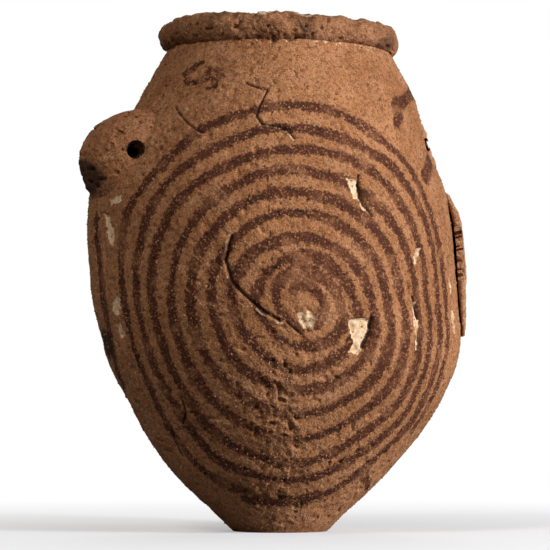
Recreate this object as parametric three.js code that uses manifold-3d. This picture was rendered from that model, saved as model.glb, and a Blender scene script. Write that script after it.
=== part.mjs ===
// A small hand-built jar of fired marl clay, with a rolled rim, a pierced lug on its left shoulder,
// the stump of a second lug on its right shoulder, and a slab of skin that has lifted off its right side.
// Millimetres and degrees, +Z up. The origin is the middle of the resting face. The painted front
// faces -Y. Azimuths run from +X towards +Y, so the left shoulder lies near 180 degrees.

import * as THREE from 'three';
import { mergeVertices } from 'three/addons/utils/BufferGeometryUtils.js';
import Module from 'manifold-3d';

// Outline of the wall, from the foot to the neck: how far the outside reaches to the left and to the
// right of the origin at each height. The jar is a little fuller on the left than on the right.
const footRadius = 13;
const heel = { height: 4, left: 17.3, right: 17.2 };
const lowerWall = { height: 17, left: 30.4, right: 30.4 };
const hip = { height: 36, left: 42, right: 44.6 };
const waist = { height: 51, left: 48.7, right: 49.8 };
const flank = { height: 64, left: 52, right: 49.1 };
const belly = { height: 78, left: 53.2, right: 48.3 };
const underShoulder = { height: 92, left: 52.8, right: 46.4 };
const shoulder = { height: 104, left: 48.4, right: 41.9 };
const upperShoulderRise = 15;
const upperShoulder = { height: shoulder.height + upperShoulderRise, left: 39.2, right: 37.7 };
const neckRise = 15;
const neckHeight = upperShoulder.height + neckRise;
const neckRadius = 30.9;

// The jar is slightly flatter from front to back than from side to side
const frontToBack = 0.98;

// The mouth is not level: its right side sits lower than its left side, and the neck below it follows
const mouthDrop = 1.6;

// Walls and floor
const wallThickness = 6;
const floorThickness = 7;

// The wall was built up in rings of clay, and each ring is bevelled where it laps on the one below
const basePadHeight = 8;
const coilCount = 6;
const bevelRise = 4;
const jointGap = 0.35;

// Rolled rim, a roll of clay pressed on the neck
const rimRadius = 33.4;
const rimHeight = 7.2;
const rimSquareness = 2.3;

// Pierced lug on the left shoulder: its reach is measured from the height where it stands out most
const lugAzimuth = 204;
const lugCrestHeight = 108.5;
const lugStandOut = 7.8;
const lugHalfLength = 15;
const lugReachUp = 7;
const lugReachDown = 18;

// Bore through the root of the lug, for a cord
const boreRadius = 1.9;
const boreHeight = 103;
const boreOutsideWall = 0.7;

// Stump of the second lug, broken nearly flush at its front end
const stumpAzimuth = 14;
const stumpHeight = 108;
const stumpHalfLength = 15;
const stumpReachUp = 8;
const stumpReachDown = 9.5;
const stumpFrontThickness = 0.9;
const stumpBackThickness = 4.4;
const stumpBoreHeight = 107;
const stumpBoreDepth = 2.2;

// Slab of skin that stands off the right side of the belly, behind a crack, and ends below the stump
const flakeAzimuth = 16.5;
const flakeBelowStump = 2.5;
const flakeTop = stumpHeight - stumpReachDown - flakeBelowStump;
const flakeBottom = 54;
const flakeHalfWidth = 19;
const flakeTopThickness = 0.5;
const flakeThickness = 2.3;
const flakeBottomThickness = 1.1;
const flakeCrack = 0.7;

// Clearance under what is seated on the wall
const seatGap = 0.35;

// Fineness of the surfaces
const stepsRound = 48;
const stepsAcrossCoil = 5;
const stepsInsideCoil = 3;
const rimSteps = 18;
const patchRings = 6;
const patchSpokes = 32;
const boreSteps = 14;

const radians = THREE.MathUtils.degToRad;
const blend = THREE.MathUtils.lerp;

const wasm = await Module();
wasm.setup();

// The outline's stations in order of height, with the foot and the neck at its ends
const stations = [
  { height: 0, left: footRadius, right: footRadius },
  heel,
  lowerWall,
  hip,
  waist,
  flank,
  belly,
  underShoulder,
  shoulder,
  upperShoulder,
  { height: neckHeight, left: neckRadius, right: neckRadius },
].sort((a, b) => a.height - b.height);

// A smooth curve through the stations that never swings past them
function smoothThrough(valueOf) {
  const x = stations.map((station) => station.height);
  const y = stations.map(valueOf);
  const last = x.length - 1;
  const chord = x.slice(0, last).map((start, i) => (y[i + 1] - y[i]) / (x[i + 1] - start));
  const slope = y.map((value, i) => {
    if (i === 0) return chord[0];
    if (i === last) return chord[last - 1];
    if (chord[i - 1] * chord[i] <= 0) return 0;
    return (2 * chord[i - 1] * chord[i]) / (chord[i - 1] + chord[i]);
  });
  return (height) => {
    const inside = THREE.MathUtils.clamp(height, x[0], x[last]);
    const i = Math.min(last - 1, Math.max(0, x.findIndex((start) => start > inside) - 1));
    const cell = inside >= x[last] ? last - 1 : i;
    const span = x[cell + 1] - x[cell];
    const t = (inside - x[cell]) / span;
    const rise = t * t * (3 - 2 * t);
    const leave = t * (1 - t) * (1 - t);
    const arrive = t * t * (1 - t);
    return blend(y[cell], y[cell + 1], rise) + span * (leave * slope[cell] - arrive * slope[cell + 1]);
  };
}

// At each height the wall is round about its own centre, which wanders a little from the origin
const outerRadius = smoothThrough((station) => (station.left + station.right) / 2);
const centreShift = smoothThrough((station) => (station.right - station.left) / 2);

// The wall keeps its thickness square to its slope
function innerRadius(height) {
  const probe = 0.5;
  const slope = (outerRadius(height + probe) - outerRadius(height - probe)) / (2 * probe);
  return outerRadius(height) - wallThickness * Math.hypot(1, slope);
}

// Move a point of a level, round jar to its place on the real one: off centre, a little flattened, and
// lower towards the right near the mouth
function settle(point) {
  const nearMouth = THREE.MathUtils.smoothstep(point.z, upperShoulder.height, neckHeight);
  const toRight = (point.x / neckRadius + 1) / 2;
  return new THREE.Vector3(
    point.x + centreShift(point.z),
    point.y * frontToBack,
    point.z - mouthDrop * nearMouth * toRight,
  );
}

// Turn a section, given as [radius, height] pairs that run outside upwards first, about the jar's axis
function turned(section) {
  const points = section.map(([radius, height]) => new THREE.Vector2(radius, height));
  const geometry = new THREE.LatheGeometry(points, stepsRound);
  geometry.rotateX(Math.PI / 2);
  const position = geometry.attributes.position;
  for (let i = 0; i < position.count; i++) {
    const settled = settle(new THREE.Vector3().fromBufferAttribute(position, i));
    position.setXYZ(i, settled.x, settled.y, settled.z);
  }
  return geometry;
}

// Heights in equal steps from one end to the other
function heightsBetween(from, to, steps) {
  return Array.from({ length: steps + 1 }, (_, i) => blend(from, to, i / steps));
}

// A point on the outside of the wall, moved straight outwards by a distance
function onWall(azimuth, height, outwards) {
  const reach = outerRadius(height) + outwards;
  return settle(new THREE.Vector3(reach * Math.cos(azimuth), reach * Math.sin(azimuth), height));
}

// The first clay of the jar: a disc with its edge turned up to take the first ring
function makeBasePad() {
  const outside = heightsBetween(0, basePadHeight - jointGap / 2, 4);
  const inside = heightsBetween(basePadHeight + bevelRise - jointGap / 2, floorThickness, 3);
  return turned([
    [0, 0],
    ...outside.map((height) => [outerRadius(height), height]),
    ...inside.map((height) => [innerRadius(height), height]),
    [0, floorThickness],
  ]);
}

// One ring of the wall. Its joints slope up towards the inside, apart from the level top of the neck.
function makeCoil(index) {
  const coilHeight = (neckHeight - basePadHeight) / coilCount;
  const bottom = basePadHeight + index * coilHeight + jointGap / 2;
  const isTop = index === coilCount - 1;
  const top = isTop ? neckHeight : basePadHeight + (index + 1) * coilHeight - jointGap / 2;
  const innerTop = isTop ? neckHeight : top + bevelRise;
  const outside = heightsBetween(bottom, top, stepsAcrossCoil);
  const inside = heightsBetween(innerTop, bottom + bevelRise, stepsInsideCoil);
  return turned([
    ...outside.map((height) => [outerRadius(height), height]),
    ...inside.map((height) => [innerRadius(height), height]),
    [outerRadius(bottom), bottom],
  ]);
}

// The rim's section is a squarish oval, flush with the inside of the neck and overhanging its outside
function makeRimRoll() {
  const inside = neckRadius - wallThickness;
  const halfWidth = (rimRadius - inside) / 2;
  const halfHeight = (rimHeight - seatGap) / 2;
  const middle = neckHeight + seatGap + halfHeight;
  const rounded = (value) => Math.sign(value) * Math.abs(value) ** (2 / rimSquareness);
  const section = Array.from({ length: rimSteps }, (_, i) => {
    const turn = (2 * Math.PI * (i + 0.5)) / rimSteps - Math.PI / 2;
    return [
      inside + halfWidth * (1 + rounded(Math.cos(turn))),
      middle + halfHeight * rounded(Math.sin(turn)),
    ];
  });
  return turned([...section, section[0]]);
}

// A closed shell laid on a patch of the wall. The patch spreads from its middle to an edge, and
// describe(share, turn) gives the place along and up the wall, and how far the shell's inside and
// outside stand off the wall there.
function makePatch(azimuth, middleHeight, describe) {
  const vertices = [];
  const middleRadius = outerRadius(middleHeight);
  const addPair = (share, turn) => {
    const spot = describe(share, turn);
    const angle = radians(azimuth) + spot.along / middleRadius;
    for (const outwards of [spot.inside, spot.outside]) {
      vertices.push(...onWall(angle, middleHeight + spot.up, outwards).toArray());
    }
  };
  addPair(0, 0);
  for (let ring = 1; ring <= patchRings; ring++) {
    const share = Math.sin((ring / patchRings) * Math.PI / 2);
    for (let spoke = 0; spoke < patchSpokes; spoke++) addPair(share, (2 * Math.PI * spoke) / patchSpokes);
  }
  const pairAt = (ring, spoke) => (ring === 0 ? 0 : 1 + (ring - 1) * patchSpokes + (spoke % patchSpokes));
  const triangles = [];
  const addFace = (a, b, c) => {
    triangles.push(2 * a + 1, 2 * b + 1, 2 * c + 1);
    triangles.push(2 * a, 2 * c, 2 * b);
  };
  for (let spoke = 0; spoke < patchSpokes; spoke++) {
    addFace(0, pairAt(1, spoke), pairAt(1, spoke + 1));
    for (let ring = 1; ring < patchRings; ring++) {
      addFace(pairAt(ring, spoke), pairAt(ring + 1, spoke), pairAt(ring + 1, spoke + 1));
      addFace(pairAt(ring, spoke), pairAt(ring + 1, spoke + 1), pairAt(ring, spoke + 1));
    }
    const here = pairAt(patchRings, spoke);
    const next = pairAt(patchRings, spoke + 1);
    triangles.push(2 * here, 2 * next, 2 * here + 1);
    triangles.push(2 * here + 1, 2 * next, 2 * next + 1);
  }
  const geometry = new THREE.BufferGeometry();
  geometry.setAttribute('position', new THREE.Float32BufferAttribute(vertices, 3));
  geometry.setIndex(triangles);
  return geometry;
}

// The lug swells steeply from its ends and its top, and gently from below
function makeLug() {
  const edgeThickness = 0.4;
  return makePatch(lugAzimuth, lugCrestHeight, (share, turn) => {
    const endwise = Math.cos(turn) ** 2;
    const isUpper = Math.sin(turn) >= 0;
    const fullness = blend(2, 4, endwise);
    const softness = blend(isUpper ? 0.5 : 1.5, 0.5, endwise);
    const swell = lugStandOut * (1 - share ** fullness) ** softness;
    const squareCos = Math.sign(Math.cos(turn)) * Math.sqrt(Math.abs(Math.cos(turn)));
    return {
      along: lugHalfLength * share * squareCos,
      up: (isUpper ? lugReachUp : lugReachDown) * share * Math.sin(turn),
      inside: seatGap,
      outside: seatGap + edgeThickness + swell,
    };
  });
}

// The stump is torn off low at its front end and stands higher at its back end
function makeStump() {
  return makePatch(stumpAzimuth, stumpHeight, (share, turn) => {
    const along = stumpHalfLength * share * Math.cos(turn);
    const reach = Math.sin(turn) >= 0 ? stumpReachUp : stumpReachDown;
    const towardsBack = THREE.MathUtils.smoothstep(along, -0.1 * stumpHalfLength, 0.5 * stumpHalfLength);
    const thickness = blend(stumpFrontThickness, stumpBackThickness, towardsBack);
    const edge = stumpFrontThickness / 2;
    return {
      along,
      up: reach * share * Math.sin(turn),
      inside: seatGap,
      outside: seatGap + blend(edge, thickness, Math.sqrt(1 - share ** 4)),
    };
  });
}

// The slab's edge, going round from its back edge over its top: how much of its half width and half
// height it reaches in each of sixteen directions
const flakeEdge = [0.86, 0.93, 0.98, 1.02, 0.96, 1.04, 1.16, 1.08, 1, 1.09, 1.26, 1.12, 0.98, 1.0, 0.9, 0.83];

function makeFlake() {
  const middleHeight = (flakeTop + flakeBottom) / 2;
  const halfHeight = (flakeTop - flakeBottom) / 2;
  return makePatch(flakeAzimuth, middleHeight, (share, turn) => {
    const place = (turn / (2 * Math.PI)) * flakeEdge.length;
    const from = Math.floor(place) % flakeEdge.length;
    const reach = blend(flakeEdge[from], flakeEdge[(from + 1) % flakeEdge.length], place - Math.floor(place));
    const along = THREE.MathUtils.clamp(share * reach * Math.cos(turn), -1, 1);
    const up = THREE.MathUtils.clamp(share * reach * Math.sin(turn), -1, 1);
    const lifted = 1 - THREE.MathUtils.smoothstep(up, 0.5, 1);
    const full = blend(flakeThickness, flakeBottomThickness, THREE.MathUtils.smoothstep(-up, 0, 1));
    return {
      along: flakeHalfWidth * along,
      up: halfHeight * up,
      inside: blend(seatGap, flakeCrack, lifted * THREE.MathUtils.smoothstep(-along, -1, 0.3)),
      outside: flakeCrack + blend(flakeTopThickness, full, lifted),
    };
  });
}

// A straight rod along the wall at one azimuth, its middle a distance outside the wall's surface
function makeBoreRod(azimuth, height, outsideWall) {
  const rodLength = 4 * lugHalfLength;
  const rod = new THREE.CylinderGeometry(boreRadius, boreRadius, rodLength, boreSteps);
  rod.rotateZ(radians(azimuth));
  const middle = onWall(radians(azimuth), height, outsideWall);
  rod.translate(middle.x, middle.y, middle.z);
  return rod;
}

// Change a closed geometry into a solid that can be cut
function toSolid(geometry) {
  const bare = new THREE.BufferGeometry();
  bare.setAttribute('position', geometry.attributes.position.clone());
  bare.setIndex(geometry.index ? geometry.index.clone() : null);
  const merged = mergeVertices(bare, 1e-4);
  return new wasm.Manifold(
    new wasm.Mesh({
      numProp: 3,
      vertProperties: new Float32Array(merged.attributes.position.array),
      triVerts: new Uint32Array(merged.index.array),
    }),
  );
}

// Cut rods out of a geometry and change the result back
function cutBy(geometry, rods) {
  const solid = rods.reduce((left, rod) => left.subtract(toSolid(rod)), toSolid(geometry));
  const mesh = solid.getMesh();
  const result = new THREE.BufferGeometry();
  result.setAttribute('position', new THREE.BufferAttribute(new Float32Array(mesh.vertProperties), 3));
  result.setIndex(new THREE.BufferAttribute(new Uint32Array(mesh.triVerts), 1));
  return result;
}

// Fired clay in slightly different tones from piece to piece
function clay(color, roughness) {
  return new THREE.MeshStandardMaterial({ color, roughness, metalness: 0 });
}

const jar = new THREE.Group();

function addPiece(name, geometry, material) {
  const piece = new THREE.Mesh(geometry, material);
  piece.name = name;
  jar.add(piece);
}

const lugBore = makeBoreRod(lugAzimuth, boreHeight, boreOutsideWall - boreRadius);
const stumpBore = makeBoreRod(stumpAzimuth, stumpBoreHeight, -stumpBoreDepth);

addPiece('base_pad', makeBasePad(), clay(0x8a5c3c, 0.92));
for (let index = 0; index < coilCount; index++) {
  addPiece(`wall_coil_${index + 1}`, cutBy(makeCoil(index), [lugBore, stumpBore]), clay(0x9c6a46, 0.9));
}
addPiece('rim_roll', makeRimRoll(), clay(0x8f5f40, 0.93));
addPiece('left_lug', cutBy(makeLug(), [lugBore]), clay(0xa06c45, 0.9));
addPiece('right_lug_stump', cutBy(makeStump(), [stumpBore]), clay(0xa77552, 0.94));
addPiece('lifted_skin_flake', makeFlake(), clay(0xa9795a, 0.94));

export default jar;
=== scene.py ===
# %% [markdown]
# # A painted clay jar
# This jar was built by hand from rings of clay, rubbed smooth, painted with red-brown iron oxide and
# fired. It is about 141 mm high. The solid model gives its pieces and their sizes. This lesson gives
# each piece its fine surface: lumps left by fingers, grit, cracks, lost skin and a brushed spiral.
# All lengths below are in millimetres until the meshes are written, which are in metres.

# %% Load the solid model
import math

import bpy
import numpy as np
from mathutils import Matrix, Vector


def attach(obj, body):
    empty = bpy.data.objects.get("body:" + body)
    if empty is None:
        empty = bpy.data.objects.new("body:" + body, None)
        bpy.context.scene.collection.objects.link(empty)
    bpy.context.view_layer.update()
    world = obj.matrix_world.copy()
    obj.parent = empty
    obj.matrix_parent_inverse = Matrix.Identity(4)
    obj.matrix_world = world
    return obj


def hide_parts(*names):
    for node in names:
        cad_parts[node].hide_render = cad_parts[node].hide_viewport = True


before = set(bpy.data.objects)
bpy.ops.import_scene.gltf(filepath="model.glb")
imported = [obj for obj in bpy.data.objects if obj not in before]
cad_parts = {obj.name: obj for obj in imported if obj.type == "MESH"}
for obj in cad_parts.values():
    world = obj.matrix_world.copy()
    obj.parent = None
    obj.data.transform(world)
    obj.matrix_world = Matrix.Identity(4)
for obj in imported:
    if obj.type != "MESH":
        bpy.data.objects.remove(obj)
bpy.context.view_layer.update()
MM = 0.001

# %% [markdown]
# ## The wall's outline
# The outline runs through a few stations, from the foot to the neck. Each gives the reach to the left
# and to the right, so the jar may lean a little. A cubic curve joins them, and its slopes are
# the harmonic means of its neighbours' slopes, which never lets it swing past a station.

# %% Sizes of the jar
NECK_HEIGHT = 134
NECK_RADIUS = 30.9
FOOT_RADIUS = 13
STATIONS = np.array([  # height, left reach, right reach
    (0, FOOT_RADIUS, FOOT_RADIUS),
    (4, 17.3, 17.2),
    (17, 30.4, 30.4),
    (36, 42, 44.6),
    (51, 48.7, 49.8),
    (64, 52, 49.1),
    (78, 53.2, 48.3),
    (92, 52.8, 46.4),
    (104, 48.4, 41.9),
    (119, 39.2, 37.7),
    (NECK_HEIGHT, NECK_RADIUS, NECK_RADIUS),
])
FRONT_TO_BACK = 0.98
MOUTH_DROP = 1.6
MOUTH_DROP_START = 119
WALL_THICKNESS = 6
FLOOR_THICKNESS = 7
BASE_PAD_HEIGHT = 8
COIL_COUNT = 6
BEVEL_RISE = 4


def smoothstep(low, high, value):
    """0 up to low, 1 from high on, and an even rise between."""
    t = np.clip((value - low) / (high - low), 0, 1)
    return t * t * (3 - 2 * t)


def polar_points(radius, turn, height):
    """Points at a radius from the axis, a turn round it and a height."""
    return np.stack([radius * np.cos(turn), radius * np.sin(turn), height], axis=-1)


def through_stations(values):
    """A curve over height through one value for each station."""
    heights = STATIONS[:, 0]
    chord = np.diff(values) / np.diff(heights)
    slope = np.zeros(len(values))
    slope[0], slope[-1] = chord[0], chord[-1]
    before, after = chord[:-1], chord[1:]
    same_way = before * after > 0
    slope[1:-1][same_way] = (2 * before * after / (before + after))[same_way]

    def curve(height):
        inside = np.clip(height, heights[0], heights[-1])
        cell = np.clip(np.searchsorted(heights, inside, side="right") - 1, 0, len(heights) - 2)
        span = heights[cell + 1] - heights[cell]
        t = (inside - heights[cell]) / span
        rise = t * t * (3 - 2 * t)
        leave, arrive = t * (1 - t) ** 2, t * t * (1 - t)
        start, end = values[cell], values[cell + 1]
        return start + (end - start) * rise + span * (leave * slope[cell] - arrive * slope[cell + 1])

    return curve


outer_radius = through_stations((STATIONS[:, 1] + STATIONS[:, 2]) / 2)
centre_shift = through_stations((STATIONS[:, 2] - STATIONS[:, 1]) / 2)


def settle(points):
    """Moves points of a level, round jar to their place on the leaning, slightly flattened one."""
    x, y, z = points[..., 0], points[..., 1], points[..., 2]
    near_mouth = smoothstep(MOUTH_DROP_START, NECK_HEIGHT, z)
    drop = MOUTH_DROP * near_mouth * (x / NECK_RADIUS + 1) / 2
    return np.stack([x + centre_shift(z), y * FRONT_TO_BACK, z - drop], axis=-1)


def on_wall(azimuth, height, outwards=0.0):
    """Points on the outline's surface, or some way outwards from it."""
    reach = outer_radius(height) + outwards
    return settle(polar_points(reach, azimuth, height + 0 * reach))


print("reach at the belly, mm:", float(outer_radius(np.array(78.0))))

# %% [markdown]
# ## A flat chart of the wall
# Paint, cracks and chips lie on the wall, so they are placed on a chart of it. Its first coordinate
# is the way round from the middle of the front, to the right. Its second is the way up
# along the outline from the foot. Both are in millimetres of surface.

# %% Chart of the wall
profile_heights = np.linspace(0, NECK_HEIGHT, 2000)
profile_steps = np.hypot(np.diff(profile_heights), np.diff(outer_radius(profile_heights)))
profile_lengths = np.concatenate([[0], np.cumsum(profile_steps)])
WALL_LENGTH = float(profile_lengths[-1])


def chart(azimuth, height):
    """Way round from the front and way up along the outline."""
    from_front = (azimuth + math.pi / 2 + math.pi) % (2 * math.pi) - math.pi
    return from_front * outer_radius(height), np.interp(height, profile_heights, profile_lengths)


print("length of the outline, mm:", round(WALL_LENGTH, 1))

# %% [markdown]
# ## Repeatable noise
# Hand-made clay has no two places alike. Value noise gives that: random numbers on a lattice, blended
# smoothly between. The lattice is drawn once from a fixed seed, so each run makes the same jar.

# %% Value noise
LATTICE_SIZE = 48
LATTICE_SEED = 7
lattice = np.random.default_rng(LATTICE_SEED).random((LATTICE_SIZE,) * 3) * 2 - 1


def noise(points, grain, shift=0.0):
    """Smooth noise from -1 to 1 whose lumps are about one grain across."""
    place = points / grain + shift
    cell = np.floor(place).astype(int)
    t = place - cell
    t = t * t * (3 - 2 * t)
    total = 0.0
    for dx in (0, 1):
        for dy in (0, 1):
            for dz in (0, 1):
                corner = lattice[
                    (cell[..., 0] + dx) % LATTICE_SIZE,
                    (cell[..., 1] + dy) % LATTICE_SIZE,
                    (cell[..., 2] + dz) % LATTICE_SIZE,
                ]
                weight = (t[..., 0] if dx else 1 - t[..., 0]) * (t[..., 1] if dy else 1 - t[..., 1])
                total = total + corner * weight * (t[..., 2] if dz else 1 - t[..., 2])
    return total


print("lattice cells:", lattice.size)

# %% Relief of hand-made clay
FINGER_LUMPS = ((0.3, 19, 3.1), (0.2, 7, 11.7))  # height, grain, shift
GRIT_LUMPS = ((0.13, 2.1, 5.3), (0.12, 0.95, 23.9))
PIT_DEPTH = 0.45
PIT_GRAIN = 1.5
HOLLOW_GRAIN = 3.4
HOLLOW_SHARE = 0.6


def layered(points, layers):
    """Several layers of noise, added up."""
    return sum(height * noise(points, grain, shift) for height, grain, shift in layers)


def clay_relief(points, roughness=1.0):
    """Lumps from fingers, then grit, then small pits where straw or lime burnt out."""
    lumps = layered(points, FINGER_LUMPS)
    grit = layered(points, GRIT_LUMPS)
    pits = PIT_DEPTH * smoothstep(0.45, 0.75, noise(points, PIT_GRAIN, 41.3))
    hollows = PIT_DEPTH * smoothstep(0.6, 0.85, noise(points, HOLLOW_GRAIN, 61.9))
    return lumps + roughness * (grit - pits) - hollows * HOLLOW_SHARE


sample_places = (np.linspace(0, 6, 500), np.linspace(20, 120, 500))
sample = on_wall(*sample_places)
print("relief from and to, mm:", clay_relief(sample).min().round(2), clay_relief(sample).max().round(2))

# %% [markdown]
# ## The brushed spiral
# The painter started near the middle of the front and wound outwards, clockwise, for nine turns.
# The turns are not true circles, so each row below gives one turn's distance from the middle
# in sixteen directions, clockwise from the right. A smooth curve joins them all.

# %% Turns of the spiral
SPIRAL_MIDDLE = (6.0, 74.5)
STROKE_WIDTH = 3.0
STROKE_SWELL = 0.22
HAND_WOBBLE = 0.45
HOOK_PART_TURN = 0.42
HOOK_START = 1.0
HOOK_REACH = 5.2
HOOK_CURL = 0.6
NO_PAINT = -9.0
DIRECTIONS = 16
TURNS = [
    [6.4, 6.6, 6.9, 7.4, 7.2, 6.2, 5.6, 5.4, 5.5, 5.8, 6.2, 6.9, 7.6, 7.9, 8.6, 9.8],
    [11.0, 12.4, 12.7, 12.6, 12.0, 12.2, 11.8, 11.4, 11.2, 10.8, 10.6, 10.8, 11.2, 12.2, 13.2, 14.2],
    [15.4, 16.4, 16.9, 17.4, 18.4, 18.6, 18.2, 17.8, 17.2, 16.8, 16.4, 16.4, 16.6, 17.2, 18.0, 19.0],
    [20.2, 21.2, 22.0, 23.4, 24.6, 24.6, 24.4, 23.8, 23.2, 23.0, 22.3, 22.4, 22.8, 23.2, 24.0, 25.0],
    [25.7, 27.2, 28.4, 29.6, 31.4, 31.6, 31.2, 30.4, 29.2, 28.2, 27.8, 28.0, 28.2, 28.8, 30.0, 30.8],
    [31.0, 32.2, 33.4, 35.2, 39.2, 38.8, 37.2, 36.6, 35.6, 34.2, 33.5, 33.5, 34.4, 34.8, 35.6, 36.4],
    [36.2, 37.6, 39.2, 41.6, 47.0, 46.0, 43.2, 42.2, 41.9, 41.2, 40.0, 39.8, 40.8, 41.4, 42.4, 42.6],
    [41.7, 42.0, 44.2, 47.2, 53.0, 52.2, 48.8, 48.0, 47.6, 46.9, 46.0, 46.2, 47.2, 46.8, 48.0, 48.4],
    [47.2, 46.8, 48.8, 52.6, 61.0, 59.0, 54.8, 54.0, 53.4, 54.6, 51.4, 53.2, 54.0, 52.6, 53.4, 52.8],
    [52.4, 51.6, 53.0],
]
turn_radii = np.array([radius for turn in TURNS for radius in turn])
turn_places = np.arange(len(turn_radii)) / DIRECTIONS
FIRST_PLACE = -0.4
spiral_places = np.linspace(FIRST_PLACE, turn_places[-1], 4000)


def smooth_radius(place):
    """A curve through the turns' radii that leaves each one along its neighbours' chord."""
    index = np.clip(np.floor(place * DIRECTIONS).astype(int), 0, len(turn_radii) - 2)
    t = place * DIRECTIONS - index
    low, high = turn_radii[index], turn_radii[index + 1]
    slope_low = (high - turn_radii[np.maximum(index - 1, 0)]) / 2
    slope_high = (turn_radii[np.minimum(index + 2, len(turn_radii) - 1)] - low) / 2
    rise = t * t * (3 - 2 * t)
    return low + (high - low) * rise + t * (1 - t) ** 2 * slope_low - t * t * (1 - t) * slope_high


hook_share = np.clip((spiral_places + HOOK_PART_TURN) / HOOK_PART_TURN, 0, 1)
inner_hook = HOOK_REACH * hook_share ** HOOK_CURL + HOOK_START
spiral_radii = np.where(spiral_places < 0, inner_hook, smooth_radius(np.maximum(spiral_places, 0)))
print("turns of the spiral:", round(float(spiral_places[-1]), 2))


def spiral_cover(u, v):
    """How far each point lies inside the spiral's stroke, in mm, and below 0 outside it."""
    across, up = u - SPIRAL_MIDDLE[0], v - SPIRAL_MIDDLE[1]
    away = np.hypot(across, up)
    part_turn = (-np.arctan2(up, across) / (2 * math.pi)) % 1
    cover = np.full(u.shape, NO_PAINT)
    along = np.stack([u, v, 0 * u], axis=-1)
    for turn in range(-1, len(TURNS)):
        place = part_turn + turn
        on_path = (place >= spiral_places[0]) & (place <= spiral_places[-1])
        radius = np.interp(place, spiral_places, spiral_radii)
        half = STROKE_WIDTH / 2 * (1 + STROKE_SWELL * noise(along, 9, 3.0 * turn))
        wobble = HAND_WOBBLE * noise(along, 13, 17.0 + turn)
        inside = half - np.abs(away - radius - wobble)
        cover = np.where(on_path, np.maximum(cover, inside), cover)
    return cover


# %% [markdown]
# ## Strokes, cracks and lost skin
# The other marks are short strokes, blots, cracks and chips. A stroke or crack is a line of a few
# points on the chart, and a chip is an outline. One function measures the distance to a line, and one
# tells how deep a point lies inside an outline. Both serve paint and relief alike.

# %% Marks on the front
STROKES = [  # half width, points
    (2.2, [(-60.5, 98), (-59.5, 88), (-59, 78), (-60, 66), (-61.5, 52)]),
    (2.3, [(-9, 14), (-2, 13), (5, 13), (10.5, 15)]),
    (1.6, [(26, 22), (29, 20), (31, 17)]),
    (2.2, [(38.5, 131.5), (40.5, 127), (39.8, 125.5)]),
    (2.4, [(42, 132), (47, 134.5), (52, 136.5), (58, 137.5)]),
    (2.4, [(52.5, 109.5), (56, 112.5), (61, 115.5)]),
    (1.1, [(-28, 139.5), (-25, 141.5), (-22, 143)]),
    (1.1, [(-27, 137), (-25, 136.5), (-23, 136.5)]),
    (0.85, [(-21, 137.5), (-19.5, 140.3), (-17, 140), (-16.2, 137.5), (-17.5, 134.8), (-19.5, 134.3)]),
    (0.8, [(-21.5, 136.5), (-19, 138), (-17, 136.5)]),
]
CRACKS = [  # half width, depth, lip, points
    (0.42, 0.9, 0.35, [(-10.3, 91), (-12.3, 85), (-10.8, 79), (-7.2, 75), (-3.4, 71.3), (0, 69.2)]),
    (0.35, 0.7, 0.15, [(2, 68.5), (3.6, 66.8), (5, 65.6)]),
    (0.3, 0.6, 0.1, [(-8.5, 135.5), (-5, 133.8), (-2.5, 133.2), (-4, 128), (-4, 125), (-2, 122.6)]),
    (0.34, 0.7, 0.4, [(-2, 122.6), (2, 122.1), (5, 121), (7, 118.5)]),
    (0.3, 0.6, 0.3, [(-29, 129), (-26, 126), (-22, 122.7), (-18, 120.3)]),
    (0.42, 0.9, 0.0, [(29, 97), (25.8, 101.5), (24.8, 105), (25, 108)]),
    (0.5, 1.0, 0.0, [(25.5, 70), (24.2, 66), (21.8, 62.2)]),
    (0.4, 0.9, 0.2, [(43, 86), (44, 87.8), (45, 89.3)]),
    (0.45, 1.0, 0.2, [(41, 76), (41.8, 73), (42, 70.2)]),
    (0.3, 0.5, 0.1, [(-34.5, 38), (-33, 33), (-31, 29)]),
    (0.35, 0.8, 0.1, [(-66, 91.5), (-63, 92.6), (-60, 92.8)]),
    (0.35, 0.7, 0.15, [(-30, 48), (-28.5, 43.5), (-29.5, 40)]),
    (0.5, 1.2, 0.0, [(55, 130), (56.5, 126), (59, 122), (60.5, 118.5)]),
]
CHIPS = [  # depth, paleness, outline
    (0.9, 1.0, [(21.6, 106.8), (23.6, 107.2), (25.3, 103.5), (28.6, 97.4), (26.6, 98.2), (23.6, 101.5)]),
    (0.9, 1.0, [
        (18.2, 69.3), (22, 70.2), (25.2, 69.6), (24, 65.5), (22, 62), (20.4, 59.6), (17.4, 61), (19, 64)]),
    (0.5, 0.8, [(40.4, 75), (42.4, 75), (42, 69), (40.3, 62), (39.4, 60), (39.8, 66)]),
    (0.6, 0.8, [(42.6, 84.6), (44, 84.6), (46.2, 89.5), (44.4, 88.8)]),
    (0.6, 0.95, [(-55.6, 99.6), (-52.2, 99), (-49.2, 94), (-49.4, 89.4), (-51.4, 90.6), (-53.2, 94)]),
    (0.3, 0.8, [(-51, 102.6), (-45.2, 103.8), (-45.6, 101.7), (-51, 100.8)]),
    (0.5, 0.55, [(4.6, 71.4), (8.4, 72), (10.2, 69.2), (8.8, 66.4), (5.6, 67)]),
    (0.4, 0.7, [(-54.6, 73), (-51.5, 76.8), (-48.6, 76), (-49, 72.6), (-52, 71.4)]),
    (0.35, 0.6, [(-54, 69), (-51, 70), (-50, 66), (-53, 65)]),
    (0.7, 0.45, [(62.5, 81.5), (66.5, 84.5), (66.2, 78), (63.2, 76.4)]),
    (0.7, 0.45, [(61.4, 73.4), (66.4, 73.2), (66, 66.4), (62.4, 67.4)]),
]
print("strokes, cracks, chips:", len(STROKES), len(CRACKS), len(CHIPS))

# %% Distances to marks
FAR_AWAY = 99.0


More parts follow.
